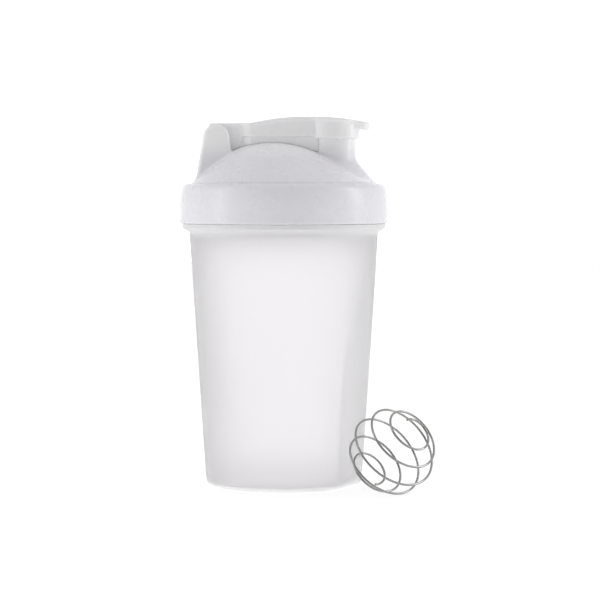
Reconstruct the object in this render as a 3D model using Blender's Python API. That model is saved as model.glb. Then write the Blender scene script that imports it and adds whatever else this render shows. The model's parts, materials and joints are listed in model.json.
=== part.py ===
"""Protein shaker bottle: cup, screw lid with a pouring spout, flip cap, two seals and a wire whisk ball.

The bottle stands on z = 0 with its axis on +Z. The spout is towards +X and the cap's hinge towards -X.
The whisk ball is a loose piece that stands on the same surface, beside the cup.
"""
import math

import bmesh
import bpy
from mathutils import Vector

MM = 0.001
FULL_TURN = 2.0 * math.pi
GAP = 0.3 * MM                          # between pieces that touch on the real bottle
SINK = 0.5 * MM                         # how far a joined shape runs into its neighbour
WELD_DISTANCE = 0.002 * MM
ROUND_SEGMENTS = 72                     # flats around the cup and the lid
SMALL_SEGMENTS = 40                     # flats around the spout, the cap and the seals
PIN_SEGMENTS = 24                       # flats around the hinge's trunnions
ARC_STEPS = 4

# Cup
CUP_BASE_RADIUS = 34.3 * MM
CUP_TAPER = math.radians(3.75)
CUP_WALL = 1.3 * MM
CUP_FLOOR = 1.6 * MM
CUP_BASE_ROUND = 2.6 * MM
CUP_BODY_TOP = 111.5 * MM
WALL_RINGS = 12
FLANGE_RADIUS = 44.8 * MM
FLANGE_BOTTOM = 113.2 * MM
FLANGE_TOP = 115.1 * MM
NECK_RADIUS = 41.9 * MM
NECK_BORE = 40.3 * MM
RIM_TOP = 128.7 * MM
RIM_ROUND = 0.4 * MM

# Grip panels pressed into the cup's wall, one on each side
PANEL_TOP = 98.0 * MM
PANEL_DEPTH = 2.3 * MM                  # at the cup's base
PANEL_HALF_ANGLE = math.radians(21.0)
PANEL_MIDDLES = (math.radians(-25.0), math.radians(155.0))
BEVEL_SHARE = 0.5                       # of the panel's half width, at half its height

# Screw thread between cup and lid
THREAD_PITCH = 5.0 * MM
THREAD_TURNS = 1.2
THREAD_RIB_HEIGHT = 1.6 * MM
THREAD_RIB_CREST = 0.9 * MM
CUP_THREAD_CREST = 43.3 * MM
CUP_THREAD_START = 118.4 * MM
LID_THREAD_CREST = 42.4 * MM
LID_THREAD_DROP = THREAD_RIB_HEIGHT + 0.4 * MM
RIB_SEGMENTS_PER_TURN = 48

# Lid: collar, shoulder and the ring that plugs the cup's mouth
COLLAR_RADIUS = 46.0 * MM
COLLAR_TOP_RADIUS = 45.7 * MM
COLLAR_BORE = 43.9 * MM
COLLAR_BOTTOM = 115.4 * MM
COLLAR_TOP = 133.1 * MM
COLLAR_ROUND = 3.5 * MM
SHOULDER = 2.0 * MM
PLUG_RING_RADIUS = 39.8 * MM
PLUG_RING_BORE = 38.4 * MM
PLUG_RING_BOTTOM = 124.5 * MM

# Lid: dome, a round crown on a straight flank, leaning towards the hinge
DOME_FOOT = 40.7 * MM
DOME_SLOPE = math.radians(34.0)
CROWN_RADIUS = 45.0 * MM
CROWN_LEAN = 5.0 * MM
LEAN_POWER = 3
LEAN_PASSES = 8                         # to settle the section that a point of the dome lies on
DOME_WALL = 1.9 * MM
FLANK_RINGS = 4
CROWN_RINGS = 6
GROOVE_WIDTH = 1.0 * MM
GROOVE_DEPTH = 0.6 * MM

# Lid: spout
SPOUT_X = 22.1 * MM
SPOUT_RADIUS = 9.6 * MM
SPOUT_BORE = 7.8 * MM
SPOUT_TOP = 158.0 * MM
SPOUT_FOOT_RADIUS = 18.3 * MM
SPOUT_FOOT_RISE = 8.6 * MM
SPOUT_FOOT_FLARE = 1.4 * MM             # beyond the spout, at the top of its foot

# Hinge ears
HINGE_X = -29.6 * MM
HINGE_Z = 152.8 * MM
EAR_RADIUS = 5.9 * MM
EAR_INNER_Y = 6.2 * MM
EAR_OUTER_Y = 9.4 * MM
EAR_FOOT_BACK = -38.6 * MM
EAR_FOOT_FRONT = -22.6 * MM
EAR_FOOT_STEPS = 5
EAR_SINK = 1.0 * MM                     # of the ears and their web into the dome
WEB_TOP = 146.95 * MM                   # the wall between the ears, which stops the open cap
WEB_FRONT = -33.5 * MM
TRUNNION_RADIUS = 2.2 * MM
TRUNNION_END_Y = 7.4 * MM

# Flip cap
CAP_CREST_X = 10.0 * MM
CAP_CREST_Z = 162.1 * MM
CAP_CURVE_BACK = 108.0 * MM             # radius of the top towards the hinge
CAP_CURVE_FRONT = 156.0 * MM            # radius of the top towards the thumb tab
CAP_BACK_X = -32.4 * MM
CAP_BACK_Z = 159.3 * MM
CAP_TIP_X = 38.0 * MM
CAP_ROOF = 1.7 * MM
CAP_STATIONS = 44
NECK_HALF_WIDTH = 5.6 * MM
NECK_HEEL_DROP = 4.0 * MM               # below the hinge's axis, where the neck leaves the barrel
NECK_BACK_RISE = 3.0 * MM               # above the axis, where its back leaves the barrel
NECK_END_X = -19.6 * MM
ARM_START_X = -14.0 * MM
ARM_END_X = SPOUT_X - 8.05 * MM         # where its side walls run into the skirt
ARM_HALF_WIDTH = 7.8 * MM
ARM_WALL = 1.5 * MM
ARM_BOTTOM = 153.3 * MM
ARM_RIB_INSET = 0.8 * MM                # of the lower rib's outside, behind the arm's wall
ARM_RIB_WALL = 1.4 * MM
ARM_RIB_GAP = 0.5 * MM                  # over the dome
ARM_RIB_END_X = 13.8 * MM
ROOF_OVERHANG = 0.5 * MM
NECK_OVERHANG = 0.15 * MM
BARREL_RADIUS = 5.0 * MM
SKIRT_RADIUS = 11.4 * MM
SKIRT_BORE = 10.0 * MM
SKIRT_BOTTOM = 152.5 * MM
DISC_RADIUS = SKIRT_RADIUS + ROOF_OVERHANG
TAB_HALF_WIDTH = 7.0 * MM
TAB_THICKNESS = 3.7 * MM
TAB_START_X = 32.0 * MM
TAB_BLEND = 4.0 * MM                    # length over which the roof thickens into the tab
TAB_NARROWING = 0.6                     # share of the half width lost at the tip
TAB_POWER = 4
BOSS_RADIUS = 6.2 * MM
BOSS_BORE = 4.8 * MM
BOSS_LIP_RADIUS = 6.9 * MM
BOSS_BOTTOM = 153.6 * MM
BOSS_LIP_TOP = 154.3 * MM

# Seals
GASKET_RADIUS = 43.2 * MM
GASKET_BORE = 40.2 * MM
GASKET_BOTTOM = RIM_TOP + GAP
GASKET_TOP = COLLAR_TOP - SHOULDER - GAP
SEAL_RADIUS = 7.45 * MM
SEAL_END_RADIUS = 7.15 * MM
SEAL_BORE = BOSS_RADIUS + GAP
SEAL_BOTTOM = BOSS_LIP_TOP + GAP
SEAL_TOP = 159.0 * MM
SEAL_LEAD_IN = 2.0 * MM                 # height of its tapered end

# Whisk ball: one wire wound as a spiral over a slightly flattened ball
BALL_X = 46.7 * MM
BALL_Y = -33.65 * MM
BALL_RADIUS = 18.5 * MM                 # to the middle of the wire
BALL_FLATTENING = 0.94
BALL_AXIS_HEADING = math.radians(-46.4)
BALL_AXIS_TILT = math.radians(37.9)
BALL_TURNS = 5.47
BALL_START_PHASE = math.radians(100.2)
BALL_FIRST_EDGE = math.radians(17.2)    # polar angle where the wire starts
BALL_LAST_EDGE = math.radians(20.1)     # and where it ends, from the other pole
BALL_CROWDING = 0.23                    # how much closer the turns lie near the poles
BALL_CLOSING_TURNS = 0.08               # extra wire that closes the last ring
WIRE_RADIUS = 0.5 * MM
WIRE_SIDES = 6
WIRE_STEPS_PER_TURN = 26

COLOURS = {
    "translucent_plastic": ((0.86, 0.86, 0.88), 0.38, 0.0),
    "white_plastic": ((0.90, 0.90, 0.92), 0.30, 0.0),
    "silicone": ((0.88, 0.88, 0.88), 0.55, 0.0),
    "steel_wire": ((0.62, 0.61, 0.60), 0.22, 1.0),
}


# ---------------------------------------------------------------- general tools

def clear_scene():
    for item in list(bpy.data.objects):
        bpy.data.objects.remove(item, do_unlink=True)


def make_material(name):
    colour, roughness, metallic = COLOURS[name]
    material = bpy.data.materials.new(name)
    material.use_nodes = True
    shader = material.node_tree.nodes["Principled BSDF"]
    shader.inputs["Base Color"].default_value = (*colour, 1.0)
    shader.inputs["Roughness"].default_value = roughness
    shader.inputs["Metallic"].default_value = metallic
    return material


def add_object(name, mesh_data):
    """Turn a bmesh into an object of the scene."""
    bmesh.ops.recalc_face_normals(mesh_data, faces=mesh_data.faces)
    mesh = bpy.data.meshes.new(name)
    mesh_data.to_mesh(mesh)
    mesh_data.free()
    item = bpy.data.objects.new(name, mesh)
    bpy.context.collection.objects.link(item)
    return item


def finish_piece(item, material):
    item.data.materials.clear()
    item.data.materials.append(material)
    item.data.shade_smooth()
    item.data.set_sharp_from_angle(angle=math.radians(35.0))
    return item


def weld(mesh):
    """Merge the near-duplicate points that a cut leaves behind."""
    mesh_data = bmesh.new()
    mesh_data.from_mesh(mesh)
    bmesh.ops.remove_doubles(mesh_data, verts=mesh_data.verts, dist=WELD_DISTANCE)
    mesh_data.to_mesh(mesh)
    mesh_data.free()
    return mesh


def combine(target, other, operation):
    """Union or difference of two closed objects; the second one is used up."""
    modifier = target.modifiers.new(operation, "BOOLEAN")
    modifier.operation = operation
    modifier.solver = "EXACT"
    modifier.object = other
    graph = bpy.context.evaluated_depsgraph_get()
    result = bpy.data.meshes.new_from_object(target.evaluated_get(graph), depsgraph=graph)
    target.modifiers.clear()
    target.data = weld(result)
    bpy.data.objects.remove(other, do_unlink=True)
    return target


def join(target, *others):
    for other in others:
        combine(target, other, "UNION")
    return target


def cut(target, *cutters):
    for cutter in cutters:
        combine(target, cutter, "DIFFERENCE")
    return target


def skin_rings(name, rings, closed=False):
    """Skin a row of rings with the same point count; a ring of one point is a pole."""
    mesh_data = bmesh.new()
    rows = [[mesh_data.verts.new(point) for point in ring] for ring in rings]
    pairs = list(zip(rows, rows[1:]))
    if closed:
        pairs.append((rows[-1], rows[0]))
    for first, second in pairs:
        count = max(len(first), len(second))
        for index in range(count):
            following = (index + 1) % count
            corners = [
                first[index % len(first)],
                first[following % len(first)],
                second[following % len(second)],
                second[index % len(second)],
            ]
            mesh_data.faces.new(list(dict.fromkeys(corners)))
    if not closed:
        for row in (rows[0], rows[-1]):
            if len(row) > 1:
                mesh_data.faces.new(row)
    return add_object(name, mesh_data)


def circle(radius, height, centre_x=0.0, segments=ROUND_SEGMENTS):
    if radius == 0.0:
        return [(centre_x, 0.0, height)]
    angles = [FULL_TURN * index / segments for index in range(segments)]
    return [(centre_x + radius * math.cos(a), radius * math.sin(a), height) for a in angles]


def turned_solid(name, profile, centre_x=0.0, segments=ROUND_SEGMENTS, closed=False):
    """Turn a profile of (radius, height) points about a vertical axis."""
    rings = [circle(radius, height, centre_x, segments) for radius, height in profile]
    return skin_rings(name, rings, closed)


def arc(centre, radius, start, end, steps=ARC_STEPS):
    """Points of an arc in a profile's plane, angles measured from the first axis."""
    angles = [start + (end - start) * step / steps for step in range(steps + 1)]
    return [(centre[0] + radius * math.cos(a), centre[1] + radius * math.sin(a)) for a in angles]


def side_plate(name, outline, y_low, y_high):
    """Extrude an (x, z) outline from one y to another."""
    rings = [[(x, y, z) for x, z in outline] for y in (y_low, y_high)]
    return skin_rings(name, rings)


def cross_cylinder(name, radius, half_length):
    """A cylinder on the hinge's axis, along Y."""
    outline = arc((HINGE_X, HINGE_Z), radius, 0.0, FULL_TURN, PIN_SEGMENTS)[:-1]
    return side_plate(name, outline, -half_length, half_length)


# ---------------------------------------------------------------- cup

def cone_radius(height):
    return CUP_BASE_RADIUS + height * math.tan(CUP_TAPER)


def panel_edges(height):
    """Half angles of the grip panel's outer edge and of its flat, at a height."""
    share = height / PANEL_TOP
    outer = PANEL_HALF_ANGLE * (1.0 - share ** 5)
    inner = outer * (1.0 - BEVEL_SHARE * math.sin(math.pi * share))
    return outer, inner


def cup_radius(angle, height):
    """Outside radius of the cup: a cone with a flat, bevelled grip panel on two sides."""
    radius = cone_radius(height)
    if not 0.0 <= height < PANEL_TOP:
        return radius
    offsets = [abs(math.remainder(angle - middle, FULL_TURN)) for middle in PANEL_MIDDLES]
    offset = min(offsets)
    outer, inner = panel_edges(height)
    if offset >= outer:
        return radius
    flat = radius - PANEL_DEPTH * (1.0 - (height / PANEL_TOP) ** 2)
    if offset <= inner:
        return flat / math.cos(offset)
    inner_radius = flat / math.cos(inner)
    reach = radius * math.sin(outer - offset) + inner_radius * math.sin(offset - inner)
    return radius * inner_radius * math.sin(outer - inner) / reach


def cup_ring(height, inset, shape_height=None):
    """A ring of the cup's wall, drawn in from its outside by an inset."""
    shape_height = height if shape_height is None else shape_height
    ring = []
    for index in range(ROUND_SEGMENTS):
        angle = FULL_TURN * index / ROUND_SEGMENTS
        radius = cup_radius(angle, shape_height) - inset
        ring.append((radius * math.cos(angle), radius * math.sin(angle), height))
    return ring


def cup_wall_rings(bottom, inset, rounding):
    """Rings from a rounded lower edge up to the top of the cup's body."""
    rings = []
    for step in range(ARC_STEPS + 1):
        turn = 0.5 * math.pi * step / ARC_STEPS
        rise = rounding * (1.0 - math.cos(turn))
        draw_in = rounding * (1.0 - math.sin(turn))
        rings.append(cup_ring(bottom + rise, inset + draw_in))
    first = bottom + rounding
    for step in range(1, WALL_RINGS + 1):
        rings.append(cup_ring(first + (CUP_BODY_TOP - first) * step / WALL_RINGS, inset))
    return rings


def make_cup(material):
    outside = [[(0.0, 0.0, 0.0)]]
    outside += cup_wall_rings(0.0, 0.0, CUP_BASE_ROUND)
    neck_profile = [
        (FLANGE_RADIUS, FLANGE_BOTTOM),
        (FLANGE_RADIUS, FLANGE_TOP),
        (NECK_RADIUS, FLANGE_TOP),
        (NECK_RADIUS, RIM_TOP - RIM_ROUND),
        (NECK_RADIUS - RIM_ROUND, RIM_TOP),
        (NECK_BORE + RIM_ROUND, RIM_TOP),
        (NECK_BORE, RIM_TOP - RIM_ROUND),
    ]
    outside += [circle(radius, height) for radius, height in neck_profile]
    inner_rounding = CUP_BASE_ROUND - CUP_WALL
    inside = cup_wall_rings(CUP_FLOOR, CUP_WALL, inner_rounding)[::-1]
    inside.append([(0.0, 0.0, CUP_FLOOR)])
    cup = skin_rings("cup", outside + inside)
    thread = thread_rib("cup_thread", NECK_RADIUS, CUP_THREAD_CREST, CUP_THREAD_START)
    return finish_piece(join(cup, thread), material)


def thread_rib(name, root_radius, crest_radius, start_height):
    """A helical rib that grows out of a round wall, rising anticlockwise seen from above."""
    outward = 1.0 if crest_radius > root_radius else -1.0
    root = root_radius - outward * SINK
    steps = round(THREAD_TURNS * RIB_SEGMENTS_PER_TURN)
    rings = []
    for step in range(steps + 1):
        turn = THREAD_TURNS * step / steps
        angle = FULL_TURN * turn
        middle = start_height + THREAD_PITCH * turn
        section = [
            (root, middle - 0.5 * THREAD_RIB_HEIGHT),
            (crest_radius, middle - 0.5 * THREAD_RIB_CREST),
            (crest_radius, middle + 0.5 * THREAD_RIB_CREST),
            (root, middle + 0.5 * THREAD_RIB_HEIGHT),
        ]
        rings.append([(r * math.cos(angle), r * math.sin(angle), z) for r, z in section])
    return skin_rings(name, rings)


# ---------------------------------------------------------------- lid

def crown_lean(radius):
    """How far the dome's section of this radius is shifted towards the hinge."""
    return -CROWN_LEAN * (1.0 - (radius / DOME_FOOT) ** LEAN_POWER)


def crown_edge():
    """Radius and height, above the collar, where the dome's flank runs into its crown."""
    radius = CROWN_RADIUS * math.sin(DOME_SLOPE)
    return radius, (DOME_FOOT - radius) * math.tan(DOME_SLOPE)


def dome_height(radius):
    """Height of the dome above the collar's top, at a radius of its own section."""
    edge_radius, edge_height = crown_edge()
    if radius >= edge_radius:
        return (DOME_FOOT - radius) * math.tan(DOME_SLOPE)
    drop = math.sqrt(CROWN_RADIUS ** 2 - radius ** 2) - CROWN_RADIUS * math.cos(DOME_SLOPE)
    return edge_height + drop


def dome_top_at(x, y):
    """World height of the dome's outside above a point of the base."""
    radius = math.hypot(x, y)
    for _ in range(LEAN_PASSES):
        radius = math.hypot(x - crown_lean(radius), y)
    return COLLAR_TOP + dome_height(radius)


def dome_rings(wall):
    """Rings of the dome from its foot to the apex; a wall moves them inwards."""
    edge_radius, _ = crown_edge()
    rings = []
    for step in range(FLANK_RINGS):
        radius = DOME_FOOT + (edge_radius - DOME_FOOT) * step / FLANK_RINGS
        inner = radius - wall * math.sin(DOME_SLOPE)
        height = COLLAR_TOP + dome_height(radius) - wall * math.cos(DOME_SLOPE)
        rings.append(circle(inner, height, crown_lean(radius)))
    for step in range(CROWN_RINGS + 1):
        slope = DOME_SLOPE * (1.0 - step / CROWN_RINGS)
        radius = CROWN_RADIUS * math.sin(slope)
        inner = radius - wall * math.sin(slope)
        height = COLLAR_TOP + dome_height(radius) - wall * math.cos(slope)
        rings.append(circle(inner, height, crown_lean(radius)))
    return rings


def lid_outside():
    corner = (COLLAR_TOP_RADIUS - COLLAR_ROUND, COLLAR_TOP - COLLAR_ROUND)
    profile = [(0.0, COLLAR_BOTTOM), (COLLAR_RADIUS, COLLAR_BOTTOM)]
    profile += arc(corner, COLLAR_ROUND, 0.0, 0.5 * math.pi)
    profile.append((DOME_FOOT + GROOVE_WIDTH, COLLAR_TOP))
    profile.append((DOME_FOOT + 0.5 * GROOVE_WIDTH, COLLAR_TOP - GROOVE_DEPTH))
    rings = [circle(radius, height) for radius, height in profile]
    return skin_rings("lid", rings + dome_rings(0.0))


def lid_cavity():
    """The space inside the collar, around the plug ring and under the dome."""
    below = COLLAR_BOTTOM - SINK
    shoulder_underside = COLLAR_TOP - SHOULDER
    profile = [
        (0.0, below),
        (COLLAR_BORE, below),
        (COLLAR_BORE, shoulder_underside),
        (PLUG_RING_RADIUS, shoulder_underside),
        (PLUG_RING_RADIUS, PLUG_RING_BOTTOM),
        (PLUG_RING_BORE, PLUG_RING_BOTTOM),
        (PLUG_RING_BORE, shoulder_underside),
    ]
    rings = [circle(radius, height) for radius, height in profile]
    return skin_rings("lid_cavity", rings + dome_rings(DOME_WALL)[1:])


def spout_solid():
    """The spout and its flared foot on the dome, still without the bore."""
    foot_top = COLLAR_TOP + SPOUT_FOOT_RISE
    profile = [
        (0.0, COLLAR_TOP - SINK),
        (SPOUT_FOOT_RADIUS, COLLAR_TOP - SINK),
        (SPOUT_RADIUS + SPOUT_FOOT_FLARE, foot_top),
        (SPOUT_RADIUS, foot_top + SPOUT_FOOT_FLARE),
        (SPOUT_RADIUS, SPOUT_TOP - SINK),
        (SPOUT_RADIUS - SINK, SPOUT_TOP),
        (0.0, SPOUT_TOP),
    ]
    return turned_solid("spout", profile, SPOUT_X, SMALL_SEGMENTS)


def spout_bore():
    profile = [
        (0.0, COLLAR_TOP),
        (SPOUT_BORE, COLLAR_TOP),
        (SPOUT_BORE, SPOUT_TOP + SINK),
        (0.0, SPOUT_TOP + SINK),
    ]
    return turned_solid("spout_bore", profile, SPOUT_X, SMALL_SEGMENTS)


def ear_foot(y):
    """Points just inside the dome's skin, from the front of an ear's foot to its back."""
    points = []
    for step in range(EAR_FOOT_STEPS):
        x = EAR_FOOT_FRONT + (EAR_FOOT_BACK - EAR_FOOT_FRONT) * step / (EAR_FOOT_STEPS - 1)
        points.append((x, dome_top_at(x, y) - EAR_SINK))
    return points


def hinge_ear(side):
    """One ear, with the blind socket that a trunnion of the cap snaps into."""
    outline = ear_foot(EAR_OUTER_Y)
    outline += arc((HINGE_X, HINGE_Z), EAR_RADIUS, math.pi, 0.0, 3 * ARC_STEPS)
    low, high = sorted((side * EAR_INNER_Y, side * EAR_OUTER_Y))
    ear = side_plate("hinge_ear", outline, low, high)
    return cut(ear, cross_cylinder("socket", TRUNNION_RADIUS + GAP, TRUNNION_END_Y + GAP))


def ear_web():
    """The low wall that ties the two ears together behind the hinge."""
    back = EAR_FOOT_BACK
    outline = [
        (back, dome_top_at(back, 0.0) - EAR_SINK),
        (HINGE_X - EAR_RADIUS - SINK, WEB_TOP),
        (WEB_FRONT, WEB_TOP),
        (WEB_FRONT, dome_top_at(WEB_FRONT, 0.0) - EAR_SINK),
    ]
    width = EAR_INNER_Y + SINK
    return side_plate("ear_web", outline, -width, width)


def make_lid(material):
    lid = lid_outside()
    join(lid, spout_solid(), hinge_ear(-1.0), hinge_ear(1.0), ear_web())
    cut(lid, lid_cavity(), spout_bore())
    start = CUP_THREAD_START - LID_THREAD_DROP
    join(lid, thread_rib("lid_thread", COLLAR_BORE, LID_THREAD_CREST, start))
    return finish_piece(lid, material)


# ---------------------------------------------------------------- flip cap

def cap_top(x):
    """Height of the cap's top surface."""
    curve = CAP_CURVE_BACK if x < CAP_CREST_X else CAP_CURVE_FRONT
    height = CAP_CREST_Z - (x - CAP_CREST_X) ** 2 / (2.0 * curve)
    return max(height, CAP_BACK_Z) if x < CAP_CREST_X else height


def smooth_step(share):
    share = min(max(share, 0.0), 1.0)
    return share * share * (3.0 - 2.0 * share)


def arm_half_width(x):
    blend = smooth_step((x - NECK_END_X) / (ARM_START_X - NECK_END_X))
    return NECK_HALF_WIDTH + (ARM_HALF_WIDTH - NECK_HALF_WIDTH) * blend


def roof_half_width(x):
    """Half width of the cap's roof: the arm, the round end over the spout, the thumb tab."""
    width = 0.0
    if x < SPOUT_X:
        blend = smooth_step((x - NECK_END_X) / (ARM_START_X - NECK_END_X))
        width = arm_half_width(x) + NECK_OVERHANG + (ROOF_OVERHANG - NECK_OVERHANG) * blend
    if abs(x - SPOUT_X) < DISC_RADIUS:
        width = max(width, math.sqrt(DISC_RADIUS ** 2 - (x - SPOUT_X) ** 2))
    if x > TAB_START_X:
        share = (x - TAB_START_X) / (CAP_TIP_X - TAB_START_X)
        width = max(width, TAB_HALF_WIDTH * (1.0 - TAB_NARROWING * share ** TAB_POWER))
    return width


def roof_thickness(x):
    blend = smooth_step((x - TAB_START_X) / TAB_BLEND + 0.5)
    return CAP_ROOF + (TAB_THICKNESS - CAP_ROOF) * blend


def cap_roof():
    rings = []
    for step in range(CAP_STATIONS + 1):
        x = CAP_BACK_X + (CAP_TIP_X - CAP_BACK_X) * step / CAP_STATIONS
        width = roof_half_width(x)
        top = cap_top(x)
        bottom = top - roof_thickness(x)
        rings.append([(x, -width, bottom), (x, width, bottom), (x, width, top), (x, -width, top)])
    return skin_rings("flip_cap", rings)


def arm_wall(side):
    """One side wall of the arm, from the neck to the skirt."""
    steps = CAP_STATIONS // 2
    rings = []
    for step in range(steps + 1):
        x = NECK_END_X + (ARM_END_X - NECK_END_X) * step / steps
        outer = side * arm_half_width(x)
        inner = side * (arm_half_width(x) - ARM_WALL)
        top = cap_top(x) - 0.5 * CAP_ROOF
        rings.append([(x, inner, ARM_BOTTOM), (x, outer, ARM_BOTTOM), (x, outer, top), (x, inner, top)])
    return skin_rings("arm_wall", rings)


def arm_rib(side):
    """The lower part of the arm's side: set back behind the wall, it follows the dome closely."""
    steps = CAP_STATIONS // 2
    rings = []
    for step in range(steps + 1):
        x = NECK_END_X + (ARM_RIB_END_X - NECK_END_X) * step / steps
        outer = arm_half_width(x) - ARM_RIB_INSET
        inner = outer - ARM_RIB_WALL
        bottom = min(dome_top_at(x, inner) + ARM_RIB_GAP, ARM_BOTTOM - SINK)
        top = ARM_BOTTOM + SINK
        section = [(inner, bottom), (outer, bottom), (outer, top), (inner, top)]
        rings.append([(x, side * y, z) for y, z in section])
    return skin_rings("arm_rib", rings)


def cap_neck():
    """The solid neck between the ears, round where it turns on the hinge's axis."""
    front = NECK_END_X + ARM_WALL
    foot = dome_top_at(front, 0.0) + ARM_RIB_GAP
    top = CAP_BACK_Z - 0.5 * CAP_ROOF
    outline = arc((HINGE_X, HINGE_Z), BARREL_RADIUS, math.pi, 1.5 * math.pi, 2 * ARC_STEPS)
    outline += [(HINGE_X + BARREL_RADIUS, HINGE_Z - NECK_HEEL_DROP), (front, foot), (front, top)]
    outline += [(HINGE_X, top), (HINGE_X - NECK_HEEL_DROP, HINGE_Z + NECK_BACK_RISE)]
    width = NECK_HALF_WIDTH - NECK_OVERHANG
    return side_plate("cap_neck", outline, -width, width)


def roofed_ring(name, outer_profile, bore):
    """A ring about the spout's axis that runs up into the cap's curved roof."""
    def roofed(radius):
        points = circle(radius, 0.0, SPOUT_X, SMALL_SEGMENTS)
        return [(x, y, cap_top(x) - 0.5 * CAP_ROOF) for x, y, _ in points]

    rings = [circle(radius, height, SPOUT_X, SMALL_SEGMENTS) for radius, height in outer_profile]
    rings += [
        roofed(outer_profile[-1][0]),
        roofed(bore),
        circle(bore, outer_profile[0][1], SPOUT_X, SMALL_SEGMENTS),
    ]
    return skin_rings(name, rings, closed=True)


def plug_boss():
    """The ring that reaches into the spout, with a lip that holds the seal."""
    profile = [
        (BOSS_LIP_RADIUS - GAP, BOSS_BOTTOM),
        (BOSS_LIP_RADIUS, BOSS_LIP_TOP),
        (BOSS_RADIUS, BOSS_LIP_TOP),
    ]
    return roofed_ring("plug_boss", profile, BOSS_BORE)


def make_flip_cap(material):
    cap = cap_roof()
    join(cap, cap_neck(), arm_wall(-1.0), arm_wall(1.0), arm_rib(-1.0), arm_rib(1.0))
    join(cap, roofed_ring("skirt", [(SKIRT_RADIUS, SKIRT_BOTTOM)], SKIRT_BORE), plug_boss())
    join(cap, cross_cylinder("trunnions", TRUNNION_RADIUS, TRUNNION_END_Y))
    return finish_piece(cap, material)


# ---------------------------------------------------------------- seals

def make_lid_gasket(material):
    profile = [
        (GASKET_BORE, GASKET_BOTTOM),
        (GASKET_RADIUS, GASKET_BOTTOM),
        (GASKET_RADIUS, GASKET_TOP),
        (GASKET_BORE, GASKET_TOP),
    ]
    return finish_piece(turned_solid("lid_gasket", profile, closed=True), material)


def make_spout_seal(material):
    profile = [
        (SEAL_BORE, SEAL_BOTTOM),
        (SEAL_END_RADIUS, SEAL_BOTTOM),
        (SEAL_RADIUS, SEAL_BOTTOM + SEAL_LEAD_IN),
        (SEAL_RADIUS, SEAL_TOP),
        (SEAL_BORE, SEAL_TOP),
    ]
    seal = turned_solid("spout_seal", profile, SPOUT_X, SMALL_SEGMENTS, closed=True)
    return finish_piece(seal, material)


# ---------------------------------------------------------------- whisk ball

def ball_directions():
    """The ball's winding axis, a level direction across it, and a third one square to both."""
    heading = BALL_AXIS_HEADING
    level = math.cos(BALL_AXIS_TILT)
    axis = Vector((level * math.cos(heading), level * math.sin(heading), math.sin(BALL_AXIS_TILT)))
    side = Vector((-math.sin(heading), math.cos(heading), 0.0))
    return axis, side, axis.cross(side)


def wire_path():
    """Points along the wire, from one end ring over the ball to the other, centred on the ball."""
    axis, side, third = ball_directions()
    span = math.pi - BALL_FIRST_EDGE - BALL_LAST_EDGE
    steps = round((BALL_TURNS + BALL_CLOSING_TURNS) * WIRE_STEPS_PER_TURN)
    points = []
    for step in range(steps + 1):
        turn = step / WIRE_STEPS_PER_TURN
        share = min(turn / BALL_TURNS, 1.0)
        crowded = share - BALL_CROWDING * math.sin(FULL_TURN * share) / FULL_TURN
        polar = BALL_FIRST_EDGE + span * crowded
        around = BALL_START_PHASE - FULL_TURN * turn
        across = side * math.cos(around) + third * math.sin(around)
        points.append(BALL_RADIUS * (BALL_FLATTENING * math.cos(polar) * axis + math.sin(polar) * across))
    return points


def wire_rings(points):
    """A ring of the wire's surface around each point of its path."""
    rings = []
    last = len(points) - 1
    for index, point in enumerate(points):
        forward = (points[min(index + 1, last)] - points[max(index - 1, 0)]).normalized()
        outward = (point - forward * point.dot(forward)).normalized()
        across = forward.cross(outward)
        ring = []
        for step in range(WIRE_SIDES):
            angle = FULL_TURN * step / WIRE_SIDES
            ring.append(point + WIRE_RADIUS * (math.cos(angle) * outward + math.sin(angle) * across))
        rings.append(ring)
    return rings


def make_whisk_ball(material):
    rings = wire_rings(wire_path())
    lowest = min(point.z for ring in rings for point in ring)
    place = Vector((BALL_X, BALL_Y, -lowest))
    placed = [[point + place for point in ring] for ring in rings]
    return finish_piece(skin_rings("whisk_ball", placed), material)


def main():
    clear_scene()
    materials = {name: make_material(name) for name in COLOURS}
    make_cup(materials["translucent_plastic"])
    make_lid(materials["white_plastic"])
    make_flip_cap(materials["white_plastic"])
    make_lid_gasket(materials["silicone"])
    make_spout_seal(materials["silicone"])
    make_whisk_ball(materials["steel_wire"])


main()
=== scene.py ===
"""The look of a protein shaker bottle: fine moulded shapes, plastics, silicone, wire, a white studio.

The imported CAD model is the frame. Each of its nodes is replaced by a finer piece of the same size that
rides on the same body. The bottle stands on z = 0 with its axis on +Z, its spout towards +X.
"""
import json
import math

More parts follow.
